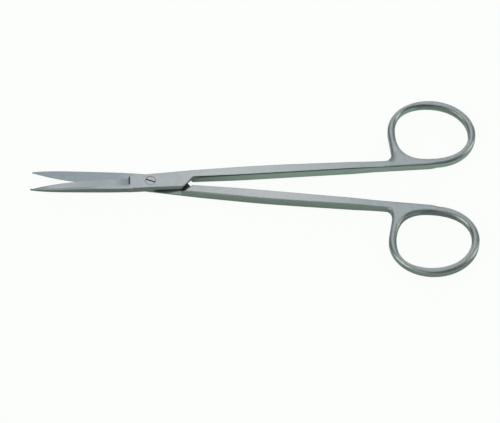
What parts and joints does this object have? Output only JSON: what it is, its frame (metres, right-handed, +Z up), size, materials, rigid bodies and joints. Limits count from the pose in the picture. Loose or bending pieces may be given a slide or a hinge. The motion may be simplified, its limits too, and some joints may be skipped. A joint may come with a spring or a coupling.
{
  "type": "surgical scissors",
  "caption": "Straight surgical scissors with sharp points, slim shanks, oval finger rings and a slotted pivot screw through a flush lap joint.",
  "frame": {"origin": "where the pivot's axis meets the flat underside of the lap joint", "axes": "+X from the joint to the finger rings, along the line that halves the opening; +Z up along the pivot's axis, towards the screw's slotted head"},
  "size_m": [0.1604, 0.0749, 0.0048],
  "materials": {
    "satin_steel": "fine satin, ground flat",
    "screw_steel": "satin, faced flush with the joint"
  },
  "bodies": {
    "lower": {"lower_half": "satin_steel", "pivot_screw": "screw_steel"},
    "upper": {"upper_half": "satin_steel"}
  },
  "joints": [
    {"name": "pivot", "type": "hinge", "parent": "lower", "child": "upper", "pos_m": [0, 0, 0.0024], "axis": [0, 0, 1], "range_deg": [-9.7, 60]}
  ]
}
